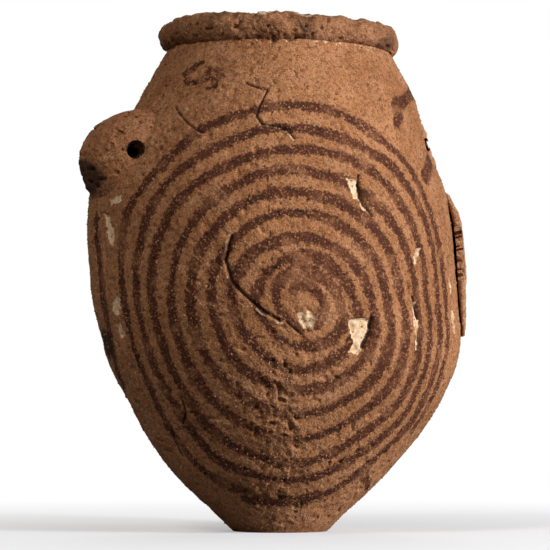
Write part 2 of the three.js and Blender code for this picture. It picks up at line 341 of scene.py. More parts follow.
def line_distance(u, v, points):
    """Distance to a line of points, and on which side of it each place lies."""
    best = np.full(u.shape, FAR_AWAY)
    side = np.zeros(u.shape)
    for (u0, v0), (u1, v1) in zip(points[:-1], points[1:]):
        du, dv = u1 - u0, v1 - v0
        t = np.clip(((u - u0) * du + (v - v0) * dv) / (du * du + dv * dv), 0, 1)
        away = np.hypot(u - u0 - t * du, v - v0 - t * dv)
        closer = away < best
        side = np.where(closer, np.sign((u - u0) * dv - (v - v0) * du), side)
        best = np.minimum(best, away)
    return best, side


def outline_depth(u, v, outline):
    """Depth inside a closed outline, in mm, and below 0 outside it."""
    closed = outline + outline[:1]
    away, _ = line_distance(u, v, closed)
    inside = np.zeros(u.shape, dtype=bool)
    for (u0, v0), (u1, v1) in zip(closed[:-1], closed[1:]):
        spans = (v0 > v) != (v1 > v)
        if v1 != v0:
            inside ^= spans & (u < (u1 - u0) * (v - v0) / (v1 - v0) + u0)
    return np.where(inside, away, -away)


def near(u, v, points, margin=4.0):
    """The places close enough to some marks to be worth measuring."""
    marks = np.array(points)
    low, high = marks.min(0) - margin, marks.max(0) + margin
    return (u > low[0]) & (u < high[0]) & (v > low[1]) & (v < high[1])


crack_away, _ = line_distance(*np.array(SPIRAL_MIDDLE).reshape(2, 1), CRACKS[0][-1])
print("longest crack from the spiral's middle, mm:", crack_away.round(1))

# %% [markdown]
# ## Reading all marks at a place
# One function works out, for any points of the wall, the paint's cover, the paleness of bare clay
# and the painted highlight on crack lips, the painted shade in cracks and on the left side, and how
# far the skin is cut back. Both the wall and what sits on it use it, so paint and painted shade run
# on from one piece to the next.

# %% Patches and the back
BACK_MIDDLE_HEIGHT = 76.0
BACK_PITCH = 6.6
BACK_START = 1.5
BACK_REACH = 52.0
BACK_FLATTENING = 0.93
BACK_WOBBLE = 0.6
SPOT_CORE, SPOT_EDGE = 0.55, 1.15
# Painted shade: two dark patches on the left side, one beside the lug and one lower down, where shade falls
PAINTED_SHADE_PATCHES = [  # middle, reach across, reach up
    ((-62, 110), 15, 6.5),
    ((-66, 64), 8, 5),
]
GRITTY_PATCHES = [  # middle, reach across, reach up
    ((7, 70), 5, 4),
    ((0, 40), 6, 24),
    ((-35, 115.5), 7, 4.5),
    ((-4, 17), 9, 4),
]


def back_spiral_cover(u, v, half_turn):
    """A plainer spiral on the back, which is out of sight and so only assumed."""
    across = np.sign(u) * (np.abs(u) - half_turn)
    up = v - BACK_MIDDLE_HEIGHT
    away = np.hypot(across, up * BACK_FLATTENING)
    part_turn = (np.arctan2(up, across) / (2 * math.pi)) % 1
    along = np.stack([u, v, 0 * u], axis=-1)
    rings = (away + BACK_WOBBLE * noise(along, 12, 77.0)) / BACK_PITCH - part_turn
    from_stroke = np.abs(rings - np.round(rings)) * BACK_PITCH
    cover = STROKE_WIDTH / 2 - from_stroke
    return np.where((away < BACK_REACH) & (away > BACK_START), cover, NO_PAINT)


def spot_share(u, v, spots):
    """How much each place belongs to some soft-edged spots, from 0 to 1."""
    share = np.zeros(u.shape)
    for (u0, v0), wide, high in spots:
        away = np.hypot((u - u0) / wide, (v - v0) / high)
        share = np.maximum(share, 1 - smoothstep(SPOT_CORE, SPOT_EDGE, away))
    return share


print("sooted and gritty patches:", len(PAINTED_SHADE_PATCHES), len(GRITTY_PATCHES))

# %% Paint, bare clay, painted shade and relief
RAGGED_EDGE = ((0.55, 1.6, 9.1), (0.3, 0.7, 4.4))  # height, grain, shift
EXTRA_GRIT = 1.6
# How pale a crack's raised lip is painted: a painted highlight
LIP_PAINTED_HIGHLIGHT = 0.45
LIP_FULL_HEIGHT = 0.3
LIP_SPREAD = 0.22
LIP_PLACE = 2.2  # from the crack's middle, in its half widths, as the groove's two below
GROOVE_CORE, GROOVE_EDGE = 0.4, 1.5
CRACK_WANDER = 0.25
CHIP_EDGE = (-0.1, 0.45)
CHIP_FLOOR, CHIP_UNEVENNESS = 0.8, 0.35


def read_marks(points, azimuth, height):
    """Paint, paleness, darkness, grit and relief at points of the wall."""
    u, v = chart(azimuth, height)
    paint = spiral_cover(u, v)
    half_turn = math.pi * outer_radius(height)
    paint = np.maximum(paint, back_spiral_cover(u, v, half_turn))
    for half, stroke in STROKES:
        close = near(u, v, stroke)
        away, _ = line_distance(u[close], v[close], stroke)
        paint[close] = np.maximum(paint[close], half - away)
    gritty = spot_share(u, v, GRITTY_PATCHES)
    relief = clay_relief(points, 1 + EXTRA_GRIT * gritty)
    # Painted shade on the left side; the cracks below add theirs
    dark = spot_share(u, v, PAINTED_SHADE_PATCHES)
    pale = np.zeros(u.shape)
    ragged = layered(points, RAGGED_EDGE)
    for depth, paleness, outline in CHIPS:
        close = near(u, v, outline)
        inside = outline_depth(u[close], v[close], outline) + ragged[close]
        share = smoothstep(*CHIP_EDGE, inside)
        floor = depth * (CHIP_FLOOR + CHIP_UNEVENNESS * noise(points[close], 1.3, 71.0))
        relief[close] -= share * floor
        pale[close] = np.maximum(pale[close], share * paleness)
    for half, depth, lip, crack in CRACKS:
        close = near(u, v, crack)
        away, side = line_distance(u[close], v[close], crack)
        away = np.abs(away + CRACK_WANDER * ragged[close])
        groove = 1 - smoothstep(half * GROOVE_CORE, half * GROOVE_EDGE, away)
        raised = lip * (side > 0) * np.exp(-((away - half * LIP_PLACE) ** 2) / LIP_SPREAD)
        raised = raised * np.clip(0.6 + 1.1 * noise(points[close], 2.6, 37.0), 0, 1)
        relief[close] += raised - depth * groove
        # Painted shade: the crack's groove is darkened, where shade falls in it
        dark[close] = np.maximum(dark[close], groove)
        # Painted highlight: the raised lip on one side of the crack is painted paler, as if lit
        lip_highlight_share = np.minimum(raised / LIP_FULL_HEIGHT, 1)
        pale[close] = np.maximum(pale[close], LIP_PAINTED_HIGHLIGHT * lip_highlight_share)
    return {"paint": paint, "pale": pale, "dark": dark, "gritty": gritty, "relief": relief}


sample_marks = read_marks(sample, *sample_places)
print("painted share of a sample:", float((sample_marks["paint"] > 0).mean().round(2)))

# %% [markdown]
# ## The bores for a cord
# Two bores run along the wall at the shoulder, one under each lug. Where a bore lies partly under
# the wall's surface, the surface is drawn in to the far side of the bore, so that the hole
# seen at the end of the lug goes on into a dark tunnel.

# %% Bores
BORE_RADIUS = 1.9
LUG_AZIMUTH = math.radians(204)
STUMP_AZIMUTH = math.radians(14)
BORE_SPOTS = [  # azimuth, height, distance of the bore's middle outside the wall
    (LUG_AZIMUTH, 103, 0.7 - BORE_RADIUS),
    (STUMP_AZIMUTH, 107, -2.2),
]
BORE_HALF_LENGTH = 30
BORE_CLEARING = 4
MOUTH_RADIUS = 2.7
MOUTH_ALONG = -12.6
MOUTH_CLEARING = 5


def bore_axis(azimuth, height, outside):
    """A bore's middle, the way it runs, and the way out of the wall there."""
    middle = on_wall(np.array(azimuth), np.array(float(height)), outside)
    direction = np.array([-math.sin(azimuth), math.cos(azimuth), 0])
    outwards = np.array([math.cos(azimuth), math.sin(azimuth), 0])
    return middle, direction, outwards


def bore_mouth():
    """The worn mouth at the front end of the lug's bore: its middle and the way out of the wall."""
    middle, direction, outwards = bore_axis(*BORE_SPOTS[0])
    return middle + direction * -MOUTH_ALONG * np.sign(-direction[1]), outwards


def drawn_in(points):
    """How far points of the wall move inwards to clear the bores."""
    depth = np.zeros(points.shape[:-1])
    for spot in BORE_SPOTS:
        middle, direction, outwards = bore_axis(*spot)
        offset = points - middle
        beside = offset @ outwards
        above = offset[..., 2]
        along = np.abs(offset @ direction)
        chord = np.sqrt(np.maximum(BORE_RADIUS ** 2 - above ** 2, 0))
        in_rod = (np.abs(above) < BORE_RADIUS) & (along < BORE_HALF_LENGTH)
        reached = in_rod & (beside > -chord) & (beside < BORE_CLEARING)
        depth = np.maximum(depth, np.where(reached, beside + chord, 0))
    centre, outwards = bore_mouth()
    offset = points - centre
    beside = offset @ outwards
    across = np.linalg.norm(offset - beside[..., None] * outwards, axis=-1)
    chord = np.sqrt(np.maximum(MOUTH_RADIUS ** 2 - across ** 2, 0))
    reached = (across < MOUTH_RADIUS) & (beside > -chord) & (beside < MOUTH_CLEARING)
    return np.maximum(depth, np.where(reached, beside + chord, 0))


print("bores:", len(BORE_SPOTS))

# %% [markdown]
# ## Meshes from grids
# A surface of revolution is a grid: columns go round and rows go up. Its normals come from the cross
# product of its two directions, and the relief moves each point along them. Pieces that were cut
# from one grid keep the grid's own normals, so no seam shows where they meet.

# %% Grid helpers
def grid_normals(grid):
    """The normal at each point of a grid that closes round its columns."""
    across = np.roll(grid, -1, axis=1) - np.roll(grid, 1, axis=1)
    up = np.gradient(grid, axis=0)
    normals = np.cross(across, up)
    return normals / np.maximum(np.linalg.norm(normals, axis=-1, keepdims=True), 1e-12)


def grid_faces(rows, columns, last_meets_first=False):
    """Quads of a grid that closes on itself round its columns, and may do so up its rows."""
    row_count = rows if last_meets_first else rows - 1
    row, column = np.meshgrid(np.arange(row_count), np.arange(columns), indexing="ij")
    after = (column + 1) % columns
    this_row = row * columns
    next_row = (row + 1) % rows * columns
    corners = [this_row + column, this_row + after, next_row + after, next_row + column]
    return np.stack(corners, axis=-1).reshape(-1, 4)


def make_mesh(name, points, quads, triangles=(), normals=None, marks=None, material=None):
    """Writes a mesh in metres, with its marks as attributes and its own normals where given."""
    mesh = bpy.data.meshes.new(name)
    quads = np.asarray(quads, dtype=np.int32).reshape(-1, 4)
    triangles = np.asarray(triangles, dtype=np.int32).reshape(-1, 3)
    mesh.vertices.add(len(points))
    mesh.vertices.foreach_set("co", (np.asarray(points) * MM).astype(np.float32).ravel())
    corners = np.concatenate([quads.ravel(), triangles.ravel()])
    starts = np.concatenate([
        np.arange(len(quads)) * 4,
        len(quads) * 4 + np.arange(len(triangles)) * 3,
    ])
    mesh.loops.add(len(corners))
    mesh.loops.foreach_set("vertex_index", corners)
    mesh.polygons.add(len(starts))
    mesh.polygons.foreach_set("loop_start", starts.astype(np.int32))
    mesh.update(calc_edges=True)
    mesh.shade_smooth()
    for mark, values in (marks or {}).items():
        attribute = mesh.attributes.new(mark, "FLOAT", "POINT")
        attribute.data.foreach_set("value", np.asarray(values, dtype=np.float32).ravel())
    if normals is not None:
        mesh.normals_split_custom_set_from_vertices(normals.reshape(-1, 3).tolist())
    if mesh.validate(verbose=False):
        print("mended faces in", name)
    piece = bpy.data.objects.new(name, mesh)
    bpy.context.scene.collection.objects.link(piece)
    if material:
        mesh.materials.append(material)
    print(name, "faces", len(mesh.polygons))
    return piece


# %% [markdown]
# ## Fired marl clay and iron oxide paint
# Marl clay fires to a matt orange-brown. It has no glaze, so it is rough, and its colour drifts from
# place to place with the fire's heat. Grit gives it dark and pale specks a fraction of a
# millimetre wide. The paint is ground iron oxide in water: red-brown, matt, and worn off the high
# grains, so its edge is never clean. Attributes on the mesh say where paint, bare clay, painted
# highlights, painted shade and dark smudges lie, and fine noise breaks their edges.

# %% Colours and nodes
def linear(hex_colour):
    """An sRGB hex colour as the linear values that shaders use."""
    channels = [int(hex_colour[i:i + 2], 16) / 255 for i in (1, 3, 5)]
    return [c / 12.92 if c <= 0.04045 else ((c + 0.055) / 1.055) ** 2.4 for c in channels] + [1.0]


def add_node(tree, kind, links=None, **settings):
    """Adds a node, sets its properties and inputs, and links what feeds it."""
    node = tree.nodes.new(kind)
    for name, value in settings.items():
        setattr(node, name, value)
    for socket, source in (links or {}).items():
        target = node.inputs[socket]
        if isinstance(source, bpy.types.NodeSocket):
            tree.links.new(source, target)
        else:
            target.default_value = source
    return node


def mix_colours(tree, share, first, second):
    """The second colour over the first by a share."""
    colours = {0: share, 6: first, 7: second}
    return add_node(tree, "ShaderNodeMix", colours, data_type="RGBA").outputs[2]


print("a mid orange-brown, linear:", [round(channel, 3) for channel in linear("#a9734a")])

# %% Fired clay
CLOUD_SIZE = 26  # drift of the colour from the fire's heat, in mm as all sizes here
PATCH_SIZE = 6.5
GRAIN_SIZE = 1.3
BRUSH_SIZE = 0.95
SPECK_SIZE = 0.62
SAND_SIZE = 0.4
PALE_PATCH = "#b98661"
DARK_GRAIN = "#6a4024"
PALE_SAND, DARK_SAND = "#d0a37a", "#5f3a22"
DARK_SPECK = "#472a19"
PAINT_DARK, PAINT_LIGHT = "#38190d", "#532914"
CHALK_AND_HIGHLIGHT_DARK, CHALK_AND_HIGHLIGHT_LIGHT = "#c09468", "#e0c29c"
# Painted shade on the wall, and random dark smudges on the rim
SHADE_AND_SMUDGE = "#23160f"
BRUSH_WANDER = 3.6
PATCH_WANDER = 2.6
GRIT_EXAGGERATION = 2.6


def fired_clay(name, light, dark, paint_strength=1.0, grit_height=0.16):
    """Matt fired clay with specks, worn paint, bare pale clay with painted highlights, and painted shade
    with dark smudges.
    """
    material = bpy.data.materials.new(name)
    material.use_nodes = True
    tree = material.node_tree
    tree.nodes.clear()
    place = add_node(tree, "ShaderNodeTexCoord").outputs["Object"]

    def pattern(size_mm, detail=2.0, rough=0.55):
        node = add_node(tree, "ShaderNodeTexNoise", {
            "Vector": place, "Scale": 1 / (size_mm * MM), "Detail": detail, "Roughness": rough})
        return node.outputs["Fac"]

    def attribute(mark):
        return add_node(tree, "ShaderNodeAttribute", attribute_name=mark).outputs["Fac"]

    def calculate(operation, first, second, third=None):
        inputs = {0: first, 1: second}
        if third is not None:
            inputs[2] = third
        return add_node(tree, "ShaderNodeMath", inputs, operation=operation).outputs[0]

    def ramp(value, low, high, start=0.0, end=1.0):
        node = add_node(tree, "ShaderNodeMapRange", {
            "Value": value, "From Min": low, "From Max": high, "To Min": start, "To Max": end})
        return node.outputs["Result"]

    def mix(share, first, second):
        return mix_colours(tree, share, first, second)

    clouds = pattern(CLOUD_SIZE, 3)
    patches = pattern(PATCH_SIZE, 3)
    grains = pattern(GRAIN_SIZE, 3, 0.65)
    specks = pattern(SPECK_SIZE, 2)
    brush = pattern(BRUSH_SIZE, 3, 0.7)
    sand = pattern(SAND_SIZE, 2, 0.6)

    colour = mix(ramp(clouds, 0.36, 0.64), linear(dark), linear(light))
    colour = mix(ramp(patches, 0.42, 0.72, 0, 0.45), colour, linear(PALE_PATCH))
    colour = mix(ramp(grains, 0.52, 0.34, 0, 0.75), colour, linear(DARK_GRAIN))
    colour = mix(ramp(sand, 0.6, 0.68, 0, 0.6), colour, linear(PALE_SAND))
    colour = mix(ramp(sand, 0.42, 0.34, 0, 0.7), colour, linear(DARK_SAND))
    colour = mix(ramp(specks, 0.42, 0.3, 0, 0.75), colour, linear(DARK_SPECK))

    # The paint's edge wanders by about half a millimetre, and grains break its film
    edge = calculate("MULTIPLY_ADD", calculate("SUBTRACT", brush, 0.5), BRUSH_WANDER, attribute("paint"))
    edge = calculate("MULTIPLY_ADD", calculate("SUBTRACT", patches, 0.42), PATCH_WANDER, edge)
    cover = ramp(edge, -0.05, 0.5, 0, 0.96 * paint_strength)
    worn = calculate("MULTIPLY", cover, ramp(specks, 0.66, 0.57, 0.15, 1))
    worn = calculate("MULTIPLY", worn, ramp(patches, 0.66, 0.54, 0.6, 1))
    worn = calculate("MULTIPLY", worn, ramp(attribute("gritty"), 0.3, 1.1, 1, 0.55))
    paint = mix(ramp(patches, 0.3, 0.7), linear(PAINT_DARK), linear(PAINT_LIGHT))
    colour = mix(worn, colour, paint)

    # Pale bare clay from chips, lime and the rim, and the painted highlight on the raised lips of cracks
    chalk_and_highlight = mix(ramp(grains, 0.3, 0.6), linear(CHALK_AND_HIGHLIGHT_DARK), linear(CHALK_AND_HIGHLIGHT_LIGHT))
    bared_and_highlit = calculate("MULTIPLY_ADD", grains, 0.7, attribute("pale"))
    colour = mix(ramp(bared_and_highlit, 0.6, 0.95), colour, chalk_and_highlight)
    # The dark attribute: painted shade on the wall, in cracks, round the bores and on the left side, and
    # random dark smudges on the rim
    shade_and_smudge = calculate("MULTIPLY_ADD", patches, 0.5, attribute("dark"))
    colour = mix(ramp(shade_and_smudge, 0.5, 1.1, 0, 0.86), colour, linear(SHADE_AND_SMUDGE))

    # Real grit stands a sixth of a millimetre proud. It is drawn higher than that, so that it shows
    height = calculate("MULTIPLY_ADD", specks, 0.6, calculate("MULTIPLY", grains, 0.8))
    height = calculate("MULTIPLY_ADD", sand, 0.4, height)
    bump = add_node(tree, "ShaderNodeBump", {
        "Height": height, "Strength": 1.0, "Distance": grit_height * MM * GRIT_EXAGGERATION})
    roughness = ramp(worn, 0, 1, 0.95, 0.82)
    shader = add_node(tree, "ShaderNodeBsdfPrincipled", {
        "Base Color": colour, "Roughness": roughness, "Normal": bump.outputs["Normal"],
        "Specular IOR Level": 0.18})
    add_node(tree, "ShaderNodeOutputMaterial", {"Surface": shader.outputs["BSDF"]})
    return material


# %% The jar's clays
# Smoothed by hand before firing: the finest surface on the jar
wall_clay = fired_clay("marl_clay_smoothed_and_painted", "#a9734a", "#94613b")
# Thumb-worn rim: darker, coarser
rim_clay = fired_clay("marl_clay_thumb_worn_rim", "#946441", "#7a4f31", grit_height=0.24)
# Lug pulled and pierced while the clay was leather-hard
lug_clay = fired_clay("marl_clay_pierced_lug", "#a87048", "#8f5c38")
# Broken faces show the coarse body under the skin, lighter, with little paint left
broken_clay = fired_clay("marl_clay_broken_body", "#bd8c66", "#ab7a55", paint_strength=0.5, grit_height=0.26)
# Inside the bores, near-black: painted shade, where little light reaches
bore_shade_clay = fired_clay("marl_clay_bore_painted_shade", "#2a1a11", "#1c110b")
print("materials:", [m.name for m in bpy.data.materials if m.name.startswith("marl")])

# %% [markdown]
# ## The wall in its six courses
# The whole outside is one fine grid, cut by height into the base pad and six courses of clay, each
# laid on the one below. The inside is a coarser grid with soft ridges where the courses
# were pressed together. Each course is closed above and below by the bevelled joint.

# %% Outside of the wall
ROUND_STEPS = 768
ROW_SPACING = 0.38
COURSE_HEIGHT = (NECK_HEIGHT - BASE_PAD_HEIGHT) / COIL_COUNT
FOOT_SMOOTH_HEIGHT = 3
LIME_BAND = (129.8, 133.4)
LIME_GRAIN = 0.9
LIME_PALENESS = 0.5
UNMARKED = {"paint": NO_PAINT, "pale": 0.0, "dark": 0.0, "gritty": 0.0}
rounds = np.arange(ROUND_STEPS) / ROUND_STEPS * 2 * math.pi
course_ends = [0, BASE_PAD_HEIGHT] + [BASE_PAD_HEIGHT + COURSE_HEIGHT * (k + 1) for k in range(COIL_COUNT)]


def rows_between(low, high):
    """Heights of the rows of one course, even along the outline."""
    start, end = np.interp([low, high], profile_heights, profile_lengths)
    steps = max(4, round((end - start) / ROW_SPACING))
    return np.interp(np.linspace(start, end, steps + 1), profile_lengths, profile_heights)


course_rows = [rows_between(low, high) for low, high in zip(course_ends[:-1], course_ends[1:])]
all_rows = np.concatenate([course_rows[0]] + [rows[1:] for rows in course_rows[1:]])
azimuths, heights = np.meshgrid(rounds, all_rows)
bare_wall = on_wall(azimuths, heights)
wall_marks = read_marks(bare_wall, azimuths, heights)
lime_grains = smoothstep(0.25, 0.6, noise(bare_wall, LIME_GRAIN, 66.0))
lime_under_rim = LIME_PALENESS * lime_grains * smoothstep(*LIME_BAND, heights)
wall_marks["pale"] = np.maximum(wall_marks["pale"], lime_under_rim)
foot_fade = smoothstep(0, FOOT_SMOOTH_HEIGHT, heights)
relief = wall_marks.pop("relief") * foot_fade
wall_grid = bare_wall + grid_normals(bare_wall) * relief[..., None]
bore_depth = drawn_in(wall_grid)
wall_grid -= polar_points(1, azimuths, 0 * azimuths) * bore_depth[..., None]
# Painted shade: the wall is darkened where it is drawn in round the bores
wall_marks["dark"] = np.maximum(wall_marks["dark"], smoothstep(0.6, 2.0, bore_depth))
wall_normals = grid_normals(wall_grid)
print("rows and columns of the wall:", wall_grid.shape[:2])

# %% Inside of the wall
INSIDE_ROWS = 14
FINGER_RIDGE = 0.5
INSIDE_LUMPS = 0.5
INSIDE_GRIT = 0.12
SWELL_LIMITS = (-0.8, 1.2)


def inner_radius(height):
    """The inside's radius, one wall's thickness in from the outside, square to its slope."""
    probe = 0.5
    slope = (outer_radius(height + probe) - outer_radius(height - probe)) / (2 * probe)
    return outer_radius(height) - WALL_THICKNESS * np.hypot(1, slope)


def inside_rows(low, high):
    """Points of the inside between two heights, from the top down."""
    rows = np.linspace(high, low, INSIDE_ROWS)
    turn, height = np.meshgrid(rounds, rows)
    radius = inner_radius(height)
    level = (height - BASE_PAD_HEIGHT - BEVEL_RISE) / COURSE_HEIGHT
    points = polar_points(radius, turn, height)
    ridge = FINGER_RIDGE * np.cos(2 * math.pi * level) * smoothstep(0, 0.2, level)
    swell = ridge + INSIDE_LUMPS * noise(points, 14, 2.2) + INSIDE_GRIT * noise(points, 3, 8.8)
    radius = radius - np.clip(swell, *SWELL_LIMITS)
    return settle(polar_points(radius, turn, height))


def make_course(name, first_row, last_row, inside):
    """One course: its outside rows, its inside rows, and the two bevelled joints between."""
    outside = wall_grid[first_row:last_row + 1]
    inside_normals = grid_normals(inside)
    rows_out, rows_in = len(outside), len(inside)
    points = np.concatenate([outside.reshape(-1, 3), inside.reshape(-1, 3)])
    normals = np.concatenate([
        wall_normals[first_row:last_row + 1].reshape(-1, 3), inside_normals.reshape(-1, 3)])
    faces = grid_faces(rows_out + rows_in, ROUND_STEPS, last_meets_first=True)
    marks = {
        mark: np.concatenate([
            values[first_row:last_row + 1].ravel(), np.full(rows_in * ROUND_STEPS, UNMARKED[mark])])
        for mark, values in wall_marks.items()
    }
    return make_mesh(name, points, faces, normals=normals, marks=marks, material=wall_clay)


# %% The six courses
pieces = []
row = len(course_rows[0]) - 1
for index in range(COIL_COUNT):
    last = row + len(course_rows[index + 1]) - 1
    low = course_ends[index + 1] + BEVEL_RISE
    high = NECK_HEIGHT if index == COIL_COUNT - 1 else course_ends[index + 2] + BEVEL_RISE
    name = f"wall_coil_{index + 1}"
    course = make_course("jar_" + name, row, last, inside_rows(low, high))
    pieces.append((course, name, "painted_clay"))
    row = last

# %% [markdown]
# ## The base pad
# The jar began as a disc of clay. Its underside is flat where it rests, its floor inside is a little
# rough, and its edge turns up to take the first course. Rings of points fill its underside and its floor.

# %% Base pad
UNDERSIDE_RINGS = 10
FLOOR_RINGS = 16
FLOOR_ROUGHNESS = 0.25
FLOOR_CORNER = 1.2


def disc_rings(rim, height, rings, relief_height):
    """Rings from a rim towards the middle, where the last is a hundredth as wide."""
    shares = np.linspace(1, 0.01, rings + 1)[1:]
    points = rim[None] * shares[:, None, None]
    points[..., 2] = height
    points[..., 2] += relief_height * noise(points, 5, 12.0) * (1 - shares[:, None] ** 4)
    return points


last = len(course_rows[0]) - 1
outside = wall_grid[:last + 1]
inside = inside_rows(FLOOR_THICKNESS + FLOOR_CORNER, BASE_PAD_HEIGHT + BEVEL_RISE)
floor_rings = disc_rings(inside[-1], FLOOR_THICKNESS, FLOOR_RINGS, FLOOR_ROUGHNESS)
foot_rings = disc_rings(outside[0], 0.0, UNDERSIDE_RINGS, 0.0)[::-1]
layers = np.concatenate([foot_rings, outside, inside, floor_rings])
flat_down = np.broadcast_to(np.array([0, 0, -1.0]), foot_rings.shape)
flat_up = np.broadcast_to(np.array([0, 0, 1.0]), floor_rings.shape)
layer_normals = np.concatenate([
    flat_down, wall_normals[:last + 1], grid_normals(inside), flat_up])
count = len(layers) * ROUND_STEPS
points = np.concatenate([layers.reshape(-1, 3), [[0, 0, 0], [0, 0, FLOOR_THICKNESS]]])
normals = np.concatenate([layer_normals.reshape(-1, 3), [[0, 0, -1], [0, 0, 1]]])
column = np.arange(ROUND_STEPS)
after = (column + 1) % ROUND_STEPS
top = count - ROUND_STEPS
caps = np.concatenate([
    np.stack([after, column, np.full(ROUND_STEPS, count)], axis=-1),
    np.stack([top + column, top + after, np.full(ROUND_STEPS, count + 1)], axis=-1),
])
pad_marks = {}
start = len(foot_rings) * ROUND_STEPS
for mark, values in wall_marks.items():
    filled = np.full(len(points), UNMARKED[mark])
    filled[start:start + outside[..., 0].size] = values[:last + 1].ravel()
    pad_marks[mark] = filled
sides = grid_faces(len(layers), ROUND_STEPS)
base_pad = make_mesh("jar_base_pad", points, sides, caps, normals, pad_marks, wall_clay)
pieces.append((base_pad, "base_pad", "painted_clay"))

# %% [markdown]
# ## The rolled rim
# The rim is a roll of clay pressed onto the neck. Its section is a squarish oval. Its outline
# wavers as it does when a roll is pinched round by hand, its top is worn flat in places, and
# grit has fallen out of it.

# %% Rim
RIM_RADIUS = 33.4
RIM_HEIGHT = 7.2
RIM_SQUARENESS = 2.3
RIM_SINK = 0.5
RIM_WAVER = 0.5
RIM_WEAR = 0.7
RIM_PINCHES = ((0.35, 3.4, 57.0),)  # height, grain, shift
RIM_LOST_GRIT = 0.7
RIM_CHALK, RIM_SMUDGES, RIM_GRIT = 0.5, 0.55, 0.6
RIM_ROUGHNESS = 2.2
RIM_LIMITS = (-1.4, 0.5)
WAVE_RADIUS = 30
RIM_STEPS = 84


def rounded(value):
    """Turns a sine or cosine into that of a squarish oval."""
    return np.sign(value) * np.abs(value) ** (2 / RIM_SQUARENESS)


rim_inside = NECK_RADIUS - WALL_THICKNESS
rim_half_width = (RIM_RADIUS - rim_inside) / 2
rim_half_height = (RIM_HEIGHT + RIM_SINK) / 2
rim_middle = NECK_HEIGHT - RIM_SINK + rim_half_height
turns, sections = np.meshgrid(rounds, 2 * math.pi * np.arange(RIM_STEPS) / RIM_STEPS - math.pi)
radius = rim_inside + rim_half_width * (1 + rounded(np.cos(sections)))
height = rim_middle + rim_half_height * rounded(np.sin(sections))
wave = polar_points(WAVE_RADIUS, turns, 0 * turns)
radius = radius + RIM_WAVER * noise(wave, 11, 31.0) * (np.cos(sections) > -0.3)
height = height - RIM_WEAR * np.clip(noise(wave, 9, 52.0), 0, 1) * (np.sin(sections) > 0)
rim_points = settle(polar_points(radius, turns, height))
rim_relief = clay_relief(rim_points, RIM_ROUGHNESS) + layered(rim_points, RIM_PINCHES)
rim_relief = rim_relief - RIM_LOST_GRIT * smoothstep(0.3, 0.65, noise(rim_points, 4.2, 83.0))
rim_points = rim_points + grid_normals(rim_points) * np.clip(rim_relief, *RIM_LIMITS)[..., None]
faces = grid_faces(RIM_STEPS, ROUND_STEPS, last_meets_first=True)
rim_marks = {
    "paint": np.full(turns.shape, NO_PAINT),
    "pale": RIM_CHALK * smoothstep(0.5, 0.8, noise(rim_points, 5, 15.0)),
    "dark": RIM_SMUDGES * smoothstep(0.3, 0.75, noise(rim_points, 7, 28.0)),
    "gritty": np.full(turns.shape, RIM_GRIT),
}
rim = make_mesh("jar_rim_roll", rim_points.reshape(-1, 3), faces, marks=rim_marks, material=rim_clay)
pieces.append((rim, "rim_roll", "rim_clay"))

# %% [markdown]
# ## Patches laid on the wall
# The lug, the stump and the lifted skin are patches of clay on the wall. Each spreads from its middle
# to an edge, over a polar grid, and says at each place how far it stands off the wall. The
# edges of the lug and the stump dive under the wall's skin, so they seem to grow out of it.

# %% Patch helpers
PATCH_RINGS, PATCH_SPOKES = ((90, 300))
PATCH_THINNEST = 0.3


def make_patch(name, azimuth, middle_height, describe, roughness, material, reach=1.0):
    """A closed shell on the wall. describe(share, turn) gives along, up, inside and outside."""
    shares = reach * np.sin(np.linspace(0, 1, PATCH_RINGS + 1)[1:] * math.pi / 2)
    turn, share = np.meshgrid(np.arange(PATCH_SPOKES) / PATCH_SPOKES * 2 * math.pi, shares)
    turn = np.concatenate([[0.0], turn.ravel()])
    share = np.concatenate([[0.0], share.ravel()])
    along, up, inside, outside = describe(share, turn)
    angle = azimuth + along / outer_radius(np.array(float(middle_height)))
    height = middle_height + up
    skin = on_wall(angle, height)
    marks = read_marks(skin, angle, height)
    relief = marks.pop("relief")
    outer = on_wall(angle, height, outside)
    lumps = clay_relief(outer, roughness)
    ease = smoothstep(-0.4, 0.8, outside)
    outer = outer + (on_wall(angle, height, outside + 1.0) - outer) * (
        relief * (1 - ease) + lumps * ease)[:, None]
    inner = on_wall(angle, height, np.minimum(inside, outside + lumps * ease - PATCH_THINNEST))
    count = len(share)
    ring = 1 + np.arange(PATCH_RINGS * PATCH_SPOKES).reshape(PATCH_RINGS, PATCH_SPOKES)
    after = np.roll(ring, -1, axis=1)
    quads = np.stack([ring[:-1], ring[1:], after[1:], after[:-1]], axis=-1).reshape(-1, 4)
    fan = np.stack([np.zeros(PATCH_SPOKES, dtype=int), ring[0], after[0]], axis=-1)
    rim_quads = np.stack([ring[-1], ring[-1] + count, after[-1] + count, after[-1]], axis=-1)
    faces = np.concatenate([quads, quads[:, ::-1] + count, rim_quads])
    fans = np.concatenate([fan, fan[:, ::-1] + count])
    both = {mark: np.concatenate([values, values]) for mark, values in marks.items()}
    both["paint"][count:] = NO_PAINT
    return make_mesh(name, np.concatenate([outer, inner]), faces, fans, marks=both, material=material)


def plain_mesh(piece):
    """Puts what the piece's modifiers make in its place and leaves none on it."""
    shown = piece.evaluated_get(bpy.context.evaluated_depsgraph_get())
    mesh = bpy.data.meshes.new_from_object(shown)
    piece.modifiers.clear()
    piece.data = mesh
    return piece


def cut_away(piece, cutter):
    """Takes one piece from another and paints what the cut lays bare near-black, as painted shade."""
    cutter.data.materials.append(bore_shade_clay)
    cut = piece.modifiers.new("bore", "BOOLEAN")
    cut.material_mode = "TRANSFER"
    cut.operation = "DIFFERENCE"
    cut.solver = "EXACT"
    cut.object = cutter
    bpy.context.view_layer.update()
    plain_mesh(piece)
    bpy.data.objects.remove(cutter)


